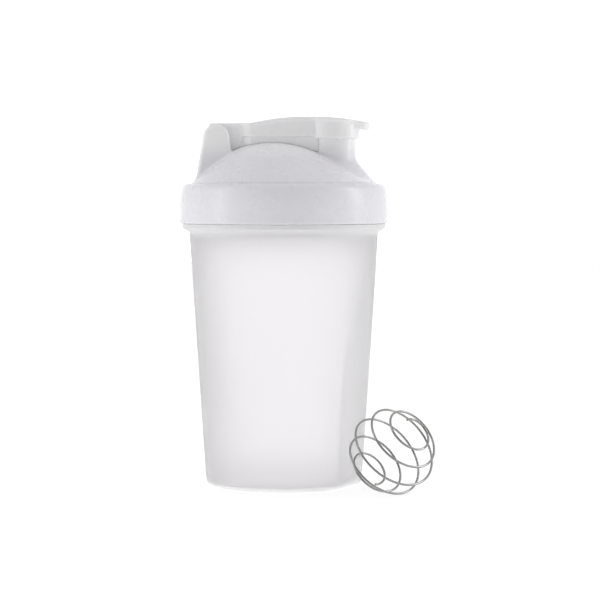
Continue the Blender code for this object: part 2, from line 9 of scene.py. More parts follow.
import bpy
import numpy as np
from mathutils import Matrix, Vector


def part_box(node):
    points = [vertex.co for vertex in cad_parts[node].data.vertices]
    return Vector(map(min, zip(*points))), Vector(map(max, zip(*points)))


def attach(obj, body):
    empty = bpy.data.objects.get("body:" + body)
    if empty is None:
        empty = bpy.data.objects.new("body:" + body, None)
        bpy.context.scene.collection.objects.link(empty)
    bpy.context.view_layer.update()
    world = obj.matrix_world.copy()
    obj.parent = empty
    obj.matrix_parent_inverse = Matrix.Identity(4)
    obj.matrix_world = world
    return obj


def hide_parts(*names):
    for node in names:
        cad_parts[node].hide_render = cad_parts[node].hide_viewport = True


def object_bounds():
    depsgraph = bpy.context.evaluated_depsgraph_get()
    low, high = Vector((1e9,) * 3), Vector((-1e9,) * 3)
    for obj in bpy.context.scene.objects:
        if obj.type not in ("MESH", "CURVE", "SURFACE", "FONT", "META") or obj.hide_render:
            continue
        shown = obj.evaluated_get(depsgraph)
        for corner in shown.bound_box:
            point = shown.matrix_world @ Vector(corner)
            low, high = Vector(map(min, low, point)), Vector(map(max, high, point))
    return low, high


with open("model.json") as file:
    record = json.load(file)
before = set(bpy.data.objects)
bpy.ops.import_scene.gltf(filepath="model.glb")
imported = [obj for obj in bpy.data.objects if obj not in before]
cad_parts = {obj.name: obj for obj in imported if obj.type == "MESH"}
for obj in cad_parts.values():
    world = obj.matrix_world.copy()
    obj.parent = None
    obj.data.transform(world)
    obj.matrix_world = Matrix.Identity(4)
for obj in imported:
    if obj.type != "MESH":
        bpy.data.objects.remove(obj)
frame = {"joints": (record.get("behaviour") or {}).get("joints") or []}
cad_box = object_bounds()

MM = 0.001
FULL_TURN = 2.0 * math.pi

# How a field is turned into a mesh; lengths as shares of a cell
SETTLING_ROUNDS = 3
SLOPE_PROBE = 0.05
LONGEST_STEP = 0.3
LEAST_SLOPE = 0.1                       # squared; keeps steps short where a field is flat

# Roundings and overlaps that several parts share
EDGE_ROUND = 0.8 * MM
FINE_ROUND = 0.3 * MM
OVERLAP = 1.0 * MM                      # how far a joined shape reaches into its neighbour

# Sizes read from the frame
_, cup_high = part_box("cup")
lid_low, lid_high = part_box("lid")
cap_low, cap_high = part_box("flip_cap")
gasket_low, gasket_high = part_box("lid_gasket")
seal_low, seal_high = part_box("spout_seal")
hinge = next(joint for joint in frame["joints"] if joint["name"] == "cap_hinge")

# Cup
CUP_BASE_RADIUS = 34.3 * MM
CUP_TAPER = math.tan(math.radians(3.75))
CUP_WALL = 1.3 * MM
CUP_FLOOR = 1.6 * MM
CUP_BASE_ROUND = 2.6 * MM
CUP_BODY_TOP = 111.5 * MM
FLANGE_RADIUS = cup_high.x
FLANGE_BOTTOM = 113.2 * MM
FLANGE_GAP = 0.12 * MM                  # it all but touches the collar
FLANGE_TOP = lid_low.z - FLANGE_GAP
FLANGE_ROUND = 0.3 * MM
NECK_RADIUS = 41.9 * MM
NECK_BORE = 40.3 * MM
RIM_TOP = cup_high.z
CUP_COLUMNS = 300
CUP_WALL_ROWS = 110
NECK_ROW_HEIGHT = 0.25 * MM
BORE_ROW_DEPTH = 5.0 * MM               # a row of points inside the neck, under the rim
CUP_BASE_RINGS = (0.5 * MM, 15.0 * MM, 29.0 * MM)
CUP_MILKY_RIM = 3.0 * MM                # height over which the plastic turns milky under the flange
CUP_MILKY_FOOT = 5.0 * MM

# Grip panels pressed into the cup's wall, one on each side
PANEL_TOP = 98.0 * MM
PANEL_DEPTH = 2.3 * MM                  # at the cup's base
PANEL_HALF_ANGLE = math.radians(21.0)
PANEL_MIDDLES = (math.radians(-25.0), math.radians(155.0))
PANEL_FADE_POWER = 5                    # how late the panel's width runs out towards its top
BEVEL_SHARE = 0.5                       # of the panel's half width, at half its height
PANEL_COLUMN_SHARES = (0.33, 0.41, 0.59, 0.67)      # of half a ring's columns, at the panel's edges
PANEL_LEAST_ANGLE = math.radians(0.25)  # keeps those columns apart where the panel has run out

# Screw thread between cup and lid
THREAD_PITCH = 5.0 * MM
THREAD_TURNS = 1.2
THREAD_RIB_HEIGHT = 1.6 * MM
THREAD_RIB_CREST = 0.9 * MM
THREAD_RUN_OUT = 0.03                   # turns over which a rib's end fades away
CUP_THREAD_CREST = 43.3 * MM
CUP_THREAD_START = 118.4 * MM
LID_THREAD_CREST = 42.4 * MM
LID_THREAD_START = CUP_THREAD_START - THREAD_RIB_HEIGHT - 0.4 * MM

# Lid: collar, shoulder and the ring that plugs the cup's mouth
COLLAR_RADIUS = lid_high.x
COLLAR_BORE = 43.9 * MM
COLLAR_BOTTOM = lid_low.z
COLLAR_TOP = 133.1 * MM
COLLAR_ROUND = 3.4 * MM
COLLAR_CROWN_START = 123.0 * MM         # above this the collar's side curves in
COLLAR_CROWN_RADIUS = 30.0 * MM
COLLAR_FOOT_ROUND = 0.4 * MM
COLLAR_INNER_ROUND = 2.4 * MM           # in the corner under the shoulder
CAVITY_ROUND = 0.6 * MM
SHOULDER = 2.0 * MM
PLUG_RING_RADIUS = 39.8 * MM
PLUG_RING_BORE = 38.4 * MM
PLUG_RING_BOTTOM = 124.5 * MM
LID_CELL = 0.5 * MM                     # size of the mesh's faces

# Lid: dome, a round crown on a straight flank, leaning towards the hinge
DOME_FOOT = 40.7 * MM
DOME_SLOPE = math.radians(34.0)
CROWN_RADIUS = 45.0 * MM
CROWN_LEAN = 5.0 * MM
LEAN_POWER = 3
LEAN_STEPS = 6
DOME_WALL = 1.9 * MM
GROOVE_RADIUS = 0.7 * MM                # in the corner between dome and shoulder
GROOVE_ROUND = 0.9 * MM
LID_FILLET = 1.5 * MM                   # where spout and ears meet the dome

# Lid: spout
SPOUT_X = 22.1 * MM
SPOUT_RADIUS = 9.6 * MM
SPOUT_BORE = 7.8 * MM
SPOUT_TOP = 158.0 * MM
SPOUT_FOOT_RADIUS = 18.3 * MM
SPOUT_FOOT_SLOPE = 0.85                 # radius lost per height
SPOUT_FILLET = 1.5 * MM

# Hinge ears
HINGE_X, _, HINGE_Z = hinge["pos_m"]
EAR_RADIUS = lid_high.z - HINGE_Z
EAR_INNER_Y = 6.2 * MM
EAR_OUTER_Y = 9.4 * MM
EAR_FOOT_BACK = -38.6 * MM
EAR_FOOT_FRONT = -22.6 * MM
EAR_ROUND = 2.2 * MM
WEB_TOP = 146.95 * MM
WEB_FRONT = -33.5 * MM
WEB_ROUND = 1.0 * MM
EAR_FRONT_START_Z = WEB_TOP - 2.0 * MM
TRUNNION_RADIUS = 2.2 * MM
TRUNNION_END_Y = 7.4 * MM
SOCKET_GAP = 0.3 * MM

# Flip cap
CAP_CREST_X = 10.0 * MM
CAP_CREST_Z = cap_high.z
CAP_CURVE_BACK = 108.0 * MM
CAP_CURVE_FRONT = 156.0 * MM
CAP_BACK_X = -32.4 * MM
CAP_BACK_Z = 159.3 * MM
CAP_TIP_X = cap_high.x
CAP_ROOF = 1.7 * MM
CAP_CELL = 0.33 * MM                    # size of the mesh's faces
CAP_BACK_ROUND = 1.0 * MM
ROOF_EDGE_ROUND = 1.1 * MM
SMALL_ROUND = 0.6 * MM                  # of the neck's sides and the trunnions' ends
NECK_HALF_WIDTH = 5.6 * MM
NECK_HEEL_DROP = 4.0 * MM               # below the hinge's axis, where the neck leaves the barrel
NECK_BACK_RISE = 3.0 * MM               # above the axis, where its back leaves the barrel
NECK_END_X = -19.6 * MM
ARM_START_X = -14.0 * MM
ARM_END_X = SPOUT_X - 8.05 * MM
ARM_HALF_WIDTH = 7.8 * MM
ARM_WALL = 1.5 * MM
ARM_BOTTOM = 153.3 * MM
ARM_RIB_INSET = 0.8 * MM                # of the lower rib's outside, behind the arm's wall
ARM_RIB_WALL = 1.4 * MM
ARM_RIB_GAP = 0.05 * MM                 # over the dome and before the spout
ARM_RIB_ROUND = 0.15 * MM
ROOF_OVERHANG = 0.5 * MM
NECK_OVERHANG = 0.15 * MM
BARREL_RADIUS = HINGE_X - cap_low.x
SKIRT_RADIUS = 11.4 * MM
SKIRT_BORE = 10.0 * MM
SKIRT_BOTTOM = 152.5 * MM
DISC_RADIUS = SKIRT_RADIUS + ROOF_OVERHANG
DISC_FILLET = 2.0 * MM                  # between the arm and the round end, seen from above
TAB_HALF_WIDTH = 7.0 * MM
TAB_THICKNESS = 3.7 * MM
TAB_START_X = 32.0 * MM
TAB_STEP_LENGTH = 4.0 * MM              # over which the roof thickens to the tab
TAB_ROUND = 7.0 * MM
TAB_FILLET = 2.5 * MM
BOSS_RADIUS = 6.2 * MM
BOSS_BORE = 4.8 * MM
BOSS_LIP_RADIUS = 6.9 * MM
BOSS_BOTTOM = 153.6 * MM
BOSS_LIP_TOP = 154.3 * MM
BOSS_ROUND = 0.5 * MM

# Seals
GASKET_WIDTH = 3.0 * MM
GASKET_BEAD = 0.25 * MM
SLEEVE_GAP = 0.3 * MM                   # around the cap's boss
SLEEVE_RIB = 0.3 * MM
SLEEVE_RIB_PLACES = (0.4, 0.75)         # shares of the sleeve's length

# Whisk ball
BALL_RADIUS = 18.41 * MM                # to the middle of the wire
BALL_FLATTENING = 0.94
BALL_AXIS_HEADING = math.radians(-46.4)
BALL_AXIS_TILT = math.radians(37.9)
BALL_TURNS = 5.47
BALL_START_PHASE = math.radians(100.2)
BALL_FIRST_EDGE = math.radians(17.2)
BALL_LAST_EDGE = math.radians(20.1)
BALL_CROWDING = 0.23
BALL_CLOSING_TURNS = 0.08               # extra wire that closes the last ring
BALL_X = 46.7 * MM
BALL_Y = -33.65 * MM
WIRE_RADIUS = 0.5 * MM
WIRE_SIDES = 16
WIRE_STEPS_PER_TURN = 90

# Plastics
PAINTED_GLOW_LOW = 143.0 * MM                   # above this the lid's plastic is painted lighter, a painted glow for light passing through its thin upper parts
PAINTED_GLOW_HIGH = 152.0 * MM
# colour of the painted glow on the lid's and cap's upper parts
PAINTED_GLOW_WHITE = (0.985, 0.977, 0.99, 1.0)
CUP_CLARITY = 0.94
CUP_MILKY_CLARITY = 0.25                # at the thick rim and foot

# Camera and studio
CAMERA_X = 7.12 * MM
CAMERA_DISTANCE = 0.995
CAMERA_HEIGHT = 0.131
CAMERA_AIM_HEIGHT = 0.0814
CAMERA_LENS = 135.2
FRONT_GLOW = 0.20
SIDE_GLOW = 0.79
WALL_GLOW = 1.32
WALL_EDGE = 0.75                        # cosine of the angle from +Y at which the wall's glow begins
WALL_CORE = 0.99                        # and at which it is full
FLOOR_HALF_SIZE = 3.0
FLOOR_GLOW = 0.74


# ---------------------------------------------------------------- meshes

def add_piece(name, points, faces, normals=None):
    mesh = bpy.data.meshes.new(name)
    mesh.from_pydata(points, [], faces)
    mesh.validate()
    mesh.shade_smooth()
    if normals is not None:
        mesh.normals_split_custom_set_from_vertices(normals)
    piece = bpy.data.objects.new(name, mesh)
    bpy.context.scene.collection.objects.link(piece)
    return piece


def ring_faces(rings, columns, closed=False):
    """Quads between neighbouring rings of the same point count."""
    faces = []
    last = rings if closed else rings - 1
    for row in range(last):
        first = row * columns
        second = (row + 1) % rings * columns
        for column in range(columns):
            following = (column + 1) % columns
            faces.append((first + column, first + following, second + following, second + column))
    return faces


def turned_piece(name, profile, centre_x=0.0, columns=192):
    """Turn a closed profile of (radius, height) points about a vertical axis."""
    points = []
    for radius, height in profile:
        for column in range(columns):
            angle = FULL_TURN * column / columns
            points.append((centre_x + radius * math.cos(angle), radius * math.sin(angle), height))
    return add_piece(name, points, ring_faces(len(profile), columns, closed=True))


def arc(centre, radius, start, end, steps=6):
    angles = [start + (end - start) * step / steps for step in range(steps + 1)]
    return [(centre[0] + radius * math.cos(a), centre[1] + radius * math.sin(a)) for a in angles]


# ---------------------------------------------------------------- solids as fields
# A field is negative inside a solid and grows by one metre per metre outside it.

def blend_min(first, second, fillet):
    """Union of two fields with a fillet in the corner between them."""
    overlap = np.maximum(fillet - np.abs(first - second), 0.0)
    return np.minimum(first, second) - overlap * overlap / (4.0 * fillet)


def blend_max(first, second, rounding):
    """Intersection of two fields with a rounded edge."""
    return -blend_min(-first, -second, rounding)


def between(value, low, high):
    return np.maximum(low - value, value - high)


def smooth_step(share):
    share = np.clip(share, 0.0, 1.0)
    return share * share * (3.0 - 2.0 * share)


def surface_slope(field, points, step):
    """Gradient of a field at scattered points."""
    x, y, z = points.T
    across = field(x + step, y, z) - field(x - step, y, z)
    along = field(x, y + step, z) - field(x, y - step, z)
    upward = field(x, y, z + step) - field(x, y, z - step)
    return np.stack([across, along, upward], axis=1) / (2.0 * step)


def sample_field(field, low, high, cell):
    axes = [np.arange(low[i] - 2.0 * cell, high[i] + 2.5 * cell, cell) for i in range(3)]
    slices = []
    for x in axes[0]:
        slices.append(field(np.full((1, 1), x), axes[1][:, None], axes[2][None, :]))
    values = np.stack([np.broadcast_to(part, (len(axes[1]), len(axes[2]))) for part in slices])
    return np.array([axis[0] for axis in axes]), values


def net_points(values, cells):
    """One point in each cell that the surface crosses: the middle of its edge crossings."""
    total = np.zeros((len(cells), 3))
    count = np.zeros(len(cells))
    for axis in range(3):
        others = [i for i in range(3) if i != axis]
        for corner in range(4):
            start = np.zeros(3, int)
            start[others[0]] = corner % 2
            start[others[1]] = corner // 2
            end = start.copy()
            end[axis] = 1
            first = values[tuple((cells + start).T)]
            second = values[tuple((cells + end).T)]
            crossed = (first < 0.0) != (second < 0.0)
            share = np.where(crossed, first / np.where(crossed, first - second, 1.0), 0.0)
            total += crossed[:, None] * (start + share[:, None] * (end - start))
            count += crossed
    return cells + total / count[:, None]


def net_faces(values, index):
    """A quad across each grid edge that the surface crosses, facing out."""
    inside = values < 0.0
    faces = []
    for axis in range(3):
        u, v = [(1, 2), (2, 0), (0, 1)][axis]
        here = np.moveaxis(inside, axis, 0)
        crossed = np.moveaxis(here[:-1] != here[1:], 0, axis)
        edges = np.argwhere(crossed)
        edges = edges[(edges[:, u] > 0) & (edges[:, v] > 0)]
        corners = []
        for du, dv in ((1, 1), (0, 1), (0, 0), (1, 0)):
            cells = edges.copy()
            cells[:, u] -= du
            cells[:, v] -= dv
            corners.append(index[tuple(cells.T)])
        quads = np.stack(corners, axis=1)
        leaving = inside[tuple(edges.T)]
        faces.append(np.where(leaving[:, None], quads, quads[:, ::-1]))
    return np.concatenate(faces)


def moulded_piece(name, field, low, high, cell):
    """Skin a field's zero surface with quads and settle its points and normals on the exact surface."""
    origin, values = sample_field(field, low, high, cell)
    inside = values < 0.0
    corners = [inside[i:i - 1 or None, j:j - 1 or None, k:k - 1 or None]
               for i in (0, 1) for j in (0, 1) for k in (0, 1)]
    mixed = np.logical_or.reduce(corners) & ~np.logical_and.reduce(corners)
    cells = np.argwhere(mixed)
    index = np.full(mixed.shape, -1)
    index[tuple(cells.T)] = np.arange(len(cells))
    points = origin + cell * net_points(values, cells)
    for _ in range(SETTLING_ROUNDS):
        slope = surface_slope(field, points, SLOPE_PROBE * cell)
        steepness = np.maximum((slope ** 2).sum(1, keepdims=True), LEAST_SLOPE)
        step = field(*points.T)[:, None] * slope / steepness
        points = points - np.clip(step, -LONGEST_STEP * cell, LONGEST_STEP * cell)
    slope = surface_slope(field, points, SLOPE_PROBE * cell)
    normals = slope / np.linalg.norm(slope, axis=1, keepdims=True)
    return add_piece(name, points.tolist(), net_faces(values, index).tolist(), normals.tolist())


def thread_rib(x, y, z, radius, root, crest, start):
    """Field of a helical rib that grows out of a round wall and fades away at both ends."""
    turn = np.mod(np.arctan2(y, x), FULL_TURN) / FULL_TURN
    outward = 1.0 if crest > root else -1.0
    rib = np.full(np.broadcast(x, y, z).shape, np.inf)
    for winding in range(math.ceil(THREAD_TURNS)):
        place = turn + winding
        end = np.minimum(place, THREAD_TURNS - place) / THREAD_RUN_OUT
        height = outward * (crest - root) * np.clip(end, -1.0, 1.0)
        rise = outward * (radius - root)
        share = np.clip(rise / (outward * (crest - root)), 0.0, 1.0)
        half = 0.5 * (THREAD_RIB_HEIGHT + (THREAD_RIB_CREST - THREAD_RIB_HEIGHT) * share)
        flank = np.abs(z - start - THREAD_PITCH * place) - half
        rib = np.minimum(rib, blend_max(flank, rise - height, FINE_ROUND))
    return rib


# ---------------------------------------------------------------- cup

def cone_radius(height):
    return CUP_BASE_RADIUS + height * CUP_TAPER


def panel_edges(height):
    """Half angles of the grip panel's outer edge and of its flat, at a height."""
    share = min(max(height / PANEL_TOP, 0.0), 1.0)
    outer = PANEL_HALF_ANGLE * (1.0 - share ** PANEL_FADE_POWER)
    inner = outer * (1.0 - BEVEL_SHARE * math.sin(math.pi * share))
    return outer, inner


def cup_radius(angle, height):
    """Outside radius of the cup: a cone with a flat, bevelled grip panel on two sides."""
    radius = cone_radius(height)
    if not 0.0 <= height < PANEL_TOP:
        return radius
    offset = min(abs(math.remainder(angle - middle, FULL_TURN)) for middle in PANEL_MIDDLES)
    outer, inner = panel_edges(height)
    if offset >= outer:
        return radius
    flat = radius - PANEL_DEPTH * (1.0 - (height / PANEL_TOP) ** 2)
    if offset <= inner:
        return flat / math.cos(offset)
    inner_radius = flat / math.cos(inner)
    reach = radius * math.sin(outer - offset) + inner_radius * math.sin(offset - inner)
    return radius * inner_radius * math.sin(outer - inner) / reach


def cup_angles(height):
    """Angles of a ring's points, spaced so that columns run along the edges of the grip panels."""
    outer, inner = panel_edges(height)
    inner = max(inner, PANEL_LEAST_ANGLE)
    outer = max(outer, 2.0 * inner)
    columns = CUP_COLUMNS // 2
    knots = (0, *(share * columns for share in PANEL_COLUMN_SHARES), columns)
    offsets = (-0.5 * math.pi, -outer, -inner, inner, outer, 0.5 * math.pi)
    half_turn = np.interp(np.arange(columns), np.round(knots), offsets)
    return [middle + offset for middle in PANEL_MIDDLES for offset in half_turn]


def cup_ring(height, inset=0.0, shape_height=None):
    """A ring of the cup's wall, drawn in from its outside by an inset."""
    shape_height = height if shape_height is None else shape_height
    ring = []
    for angle in cup_angles(shape_height):
        radius = cup_radius(angle, shape_height) - inset
        ring.append((radius * math.cos(angle), radius * math.sin(angle), height))
    return ring


def plain_ring(radius, height):
    return [(radius * math.cos(a), radius * math.sin(a), height) for a in cup_angles(PANEL_TOP)]


def neck_ring(height):
    """A ring of the cup's neck, with the crest of the screw thread where it passes."""
    angles = np.array(cup_angles(PANEL_TOP))
    turns = np.mod(angles, FULL_TURN) / FULL_TURN
    rise = np.zeros(len(angles))
    for winding in range(math.ceil(THREAD_TURNS)):
        place = turns + winding
        fade = np.clip(np.minimum(place, THREAD_TURNS - place) / THREAD_RUN_OUT, 0.0, 1.0)
        offset = np.abs(height - CUP_THREAD_START - THREAD_PITCH * place)
        flank = (0.5 * THREAD_RIB_HEIGHT - offset) / (0.5 * (THREAD_RIB_HEIGHT - THREAD_RIB_CREST))
        rise = np.maximum(rise, fade * smooth_step(flank))
    radii = NECK_RADIUS + (CUP_THREAD_CREST - NECK_RADIUS) * rise
    return [(r * math.cos(a), r * math.sin(a), height) for r, a in zip(radii, angles)]


def cup_wall_rings(bottom, inset, rounding):
    """Rings from a rounded lower edge up to the top of the cup's body."""
    rings = []
    for turn in np.linspace(0.0, 0.5 * math.pi, 9):
        rise = rounding * (1.0 - math.cos(turn))
        draw_in = rounding * (1.0 - math.sin(turn))
        rings.append(cup_ring(bottom + rise, inset + draw_in))
    heights = np.linspace(bottom + rounding, CUP_BODY_TOP, CUP_WALL_ROWS)
    rings += [cup_ring(height, inset) for height in heights[1:]]
    return rings


def make_cup():
    rings = [plain_ring(radius, 0.0) for radius in CUP_BASE_RINGS]
    rings += cup_wall_rings(0.0, 0.0, CUP_BASE_ROUND)
    upper = FLANGE_TOP - FLANGE_ROUND
    lower = FLANGE_BOTTOM + FLANGE_ROUND
    edge = FLANGE_RADIUS - FLANGE_ROUND
    flange = arc((edge, lower), FLANGE_ROUND, -0.3 * math.pi, 0.0)
    flange += arc((edge, upper), FLANGE_ROUND, 0.0, 0.5 * math.pi)
    rings += [plain_ring(radius, height) for radius, height in flange]
    neck_heights = np.arange(FLANGE_TOP, RIM_TOP - 2.0 * NECK_ROW_HEIGHT, NECK_ROW_HEIGHT)
    rings += [neck_ring(height) for height in neck_heights]
    rim = 0.5 * (NECK_RADIUS - NECK_BORE)
    rim_arc = arc((NECK_RADIUS - rim, RIM_TOP - rim), rim, 0.0, math.pi, 10)
    rings += [plain_ring(radius, height) for radius, height in rim_arc]
    rings += [plain_ring(NECK_BORE, height) for height in (RIM_TOP - BORE_ROW_DEPTH, FLANGE_TOP)]
    rings += cup_wall_rings(CUP_FLOOR, CUP_WALL, CUP_BASE_ROUND - CUP_WALL)[::-1]
    rings += [plain_ring(radius, CUP_FLOOR) for radius in CUP_BASE_RINGS[::-1]]
    faces = ring_faces(len(rings), CUP_COLUMNS)
    faces.append(tuple(range(CUP_COLUMNS))[::-1])
    last = (len(rings) - 1) * CUP_COLUMNS
    faces.append(tuple(range(last, last + CUP_COLUMNS)))
    points = [point for ring in rings for point in ring]
    return add_piece("shaker_cup", points, faces)


# ---------------------------------------------------------------- lid

def dome_field(x, y, z):
    """A straight flank that runs into a round crown; its sections shift towards the hinge."""
    radius = np.hypot(x, y)
    for _ in range(LEAN_STEPS):
        lean = -CROWN_LEAN * (1.0 - (np.minimum(radius, DOME_FOOT) / DOME_FOOT) ** LEAN_POWER)
        radius = np.hypot(x - lean, y)
    edge = CROWN_RADIUS * math.sin(DOME_SLOPE)
    centre = COLLAR_TOP + (DOME_FOOT - edge) * math.tan(DOME_SLOPE) - CROWN_RADIUS * math.cos(DOME_SLOPE)
    crown = np.hypot(radius, z - centre) - CROWN_RADIUS
    flank = (z - COLLAR_TOP) * math.cos(DOME_SLOPE) + (radius - DOME_FOOT) * math.sin(DOME_SLOPE)
    return np.where(radius < (z - centre) * math.tan(DOME_SLOPE), crown, flank)


def collar_field(radius, z):
    draw_in = np.maximum(z - COLLAR_CROWN_START, 0.0) ** 2 / (2.0 * COLLAR_CROWN_RADIUS)
    side = radius - (COLLAR_RADIUS - draw_in)
    rounded = blend_max(side, z - COLLAR_TOP, COLLAR_ROUND)
    return blend_max(rounded, COLLAR_BOTTOM - z, COLLAR_FOOT_ROUND)


def spout_field(x, y, z):
    """The spout on its flared foot, still without the bore."""
    radius = np.hypot(x - SPOUT_X, y)
    tube = blend_max(radius - SPOUT_RADIUS, z - SPOUT_TOP, EDGE_ROUND)
    foot_radius = SPOUT_FOOT_RADIUS - SPOUT_FOOT_SLOPE * (z - COLLAR_TOP)
    foot = (radius - foot_radius) / math.hypot(1.0, SPOUT_FOOT_SLOPE)
    return np.maximum(blend_min(tube, foot, SPOUT_FILLET), COLLAR_TOP - OVERLAP - z)


def beyond_line(x, z, low, high):
    """Distance to the +X side of an upward line in the (x, z) plane."""
    run, rise = high[0] - low[0], high[1] - low[1]
    return ((x - low[0]) * rise - (z - low[1]) * run) / math.hypot(run, rise)


def hinge_ears_field(x, y, z):
    """Two ears and the low wall that ties them together behind the hinge."""
    centre = np.hypot(x - HINGE_X, z - HINGE_Z)
    back = -beyond_line(x, z, (EAR_FOOT_BACK, COLLAR_TOP), (HINGE_X - EAR_RADIUS, HINGE_Z))
    front = beyond_line(x, z, (EAR_FOOT_FRONT, EAR_FRONT_START_Z), (HINGE_X + EAR_RADIUS, HINGE_Z))
    leg = np.maximum(np.maximum(front, back), z - HINGE_Z)
    outline = blend_min(centre - EAR_RADIUS, leg, FINE_ROUND)
    ears = blend_max(outline, between(np.abs(y), EAR_INNER_Y, EAR_OUTER_Y), EAR_ROUND)
    web = np.maximum(np.maximum(back, x - WEB_FRONT), np.abs(y) - EAR_INNER_Y - 0.5 * OVERLAP)
    web = blend_max(web, z - WEB_TOP, WEB_ROUND)
    socket = np.maximum(centre - TRUNNION_RADIUS - SOCKET_GAP, np.abs(y) - TRUNNION_END_Y - SOCKET_GAP)
    return np.maximum(blend_min(ears, web, EDGE_ROUND), -socket)


def lid_cavity_field(z, radius, dome):
    """The space in the collar and, above it, the space under the dome."""
    collar_space = blend_max(radius - COLLAR_BORE, z - COLLAR_TOP + SHOULDER, COLLAR_INNER_ROUND)
    dome_space = np.maximum(dome + DOME_WALL, radius - PLUG_RING_BORE)
    return np.minimum(collar_space, dome_space)


def lid_field(x, y, z):
    radius = np.hypot(x, y)
    dome = dome_field(x, y, z)
    above_shoulder = np.maximum(dome, COLLAR_TOP - OVERLAP - z)
    above_shoulder = blend_min(above_shoulder, spout_field(x, y, z), LID_FILLET)
    above_shoulder = blend_min(above_shoulder, hinge_ears_field(x, y, z), LID_FILLET)
    groove = np.hypot(radius - DOME_FOOT - GROOVE_RADIUS, z - COLLAR_TOP)
    solid = np.minimum(collar_field(radius, z), above_shoulder)
    solid = blend_max(solid, GROOVE_RADIUS - groove, GROOVE_ROUND)
    solid = blend_max(solid, -lid_cavity_field(z, radius, dome), CAVITY_ROUND)
    ring = blend_max(between(radius, PLUG_RING_BORE, PLUG_RING_RADIUS), PLUG_RING_BOTTOM - z, EDGE_ROUND)
    solid = blend_min(solid, np.maximum(ring, z - COLLAR_TOP + OVERLAP), EDGE_ROUND)
    bore = np.maximum(np.hypot(x - SPOUT_X, y) - SPOUT_BORE, COLLAR_TOP - z)
    solid = blend_max(solid, -bore, EDGE_ROUND)
    rib = thread_rib(x, y, z, radius, COLLAR_BORE, LID_THREAD_CREST, LID_THREAD_START)
    return np.minimum(solid, np.maximum(rib, radius - COLLAR_BORE - 0.5 * OVERLAP))


def make_lid():
    return moulded_piece("screw_lid", lid_field, lid_low, lid_high, LID_CELL)


# ---------------------------------------------------------------- flip cap

def cap_top(x):
    """Height of the cap's top surface."""
    back = CAP_CREST_Z - (x - CAP_CREST_X) ** 2 / (2.0 * CAP_CURVE_BACK)
    front = CAP_CREST_Z - (x - CAP_CREST_X) ** 2 / (2.0 * CAP_CURVE_FRONT)
    return np.where(x < CAP_CREST_X, blend_max(back, CAP_BACK_Z, FINE_ROUND), front)


def arm_half_width(x):
    share = smooth_step((x - NECK_END_X) / (ARM_START_X - NECK_END_X))
    return NECK_HALF_WIDTH + (ARM_HALF_WIDTH - NECK_HALF_WIDTH) * share


def roof_plan(x, y, spout_distance):
    """Outline of the cap seen from above: arm, round end over the spout, thumb tab."""
    share = smooth_step((x - NECK_END_X) / (ARM_START_X - NECK_END_X))
    overhang = NECK_OVERHANG + (ROOF_OVERHANG - NECK_OVERHANG) * share
    arm = np.maximum(np.abs(y) - arm_half_width(x) - overhang, x - SPOUT_X)
    arm = blend_max(arm, CAP_BACK_X - x, CAP_BACK_ROUND)
    tab = blend_max(np.abs(y) - TAB_HALF_WIDTH, x - CAP_TIP_X, TAB_ROUND)
    tab = np.maximum(tab, SPOUT_X - x)
    return blend_min(blend_min(arm, spout_distance - DISC_RADIUS, DISC_FILLET), tab, TAB_FILLET)


def cap_neck_field(x, y, z, top):
    """The solid neck between the ears, round where it turns on the hinge's axis; it skims the dome."""
    centre = np.hypot(x - HINGE_X, z - HINGE_Z)
    corner = (HINGE_X + BARREL_RADIUS, HINGE_Z - NECK_HEEL_DROP)
    heel = beyond_line(x, z, (HINGE_X, HINGE_Z - BARREL_RADIUS), corner)
    back_start = (HINGE_X - NECK_HEEL_DROP, HINGE_Z + NECK_BACK_RISE)
    back = -beyond_line(x, z, back_start, (CAP_BACK_X, CAP_BACK_Z))
    underside = np.where(x < corner[0], heel, ARM_RIB_GAP - dome_field(x, y, z))
    block = np.maximum(np.maximum(underside, back), x - NECK_END_X - ARM_WALL)
    block = np.maximum(block, z - top + 0.5 * CAP_ROOF)
    block = np.where(x < back_start[0], np.maximum(block, back_start[1] - z), block)
    outline = np.minimum(block, centre - BARREL_RADIUS)
    return blend_max(outline, np.abs(y) - NECK_HALF_WIDTH + NECK_OVERHANG, SMALL_ROUND)


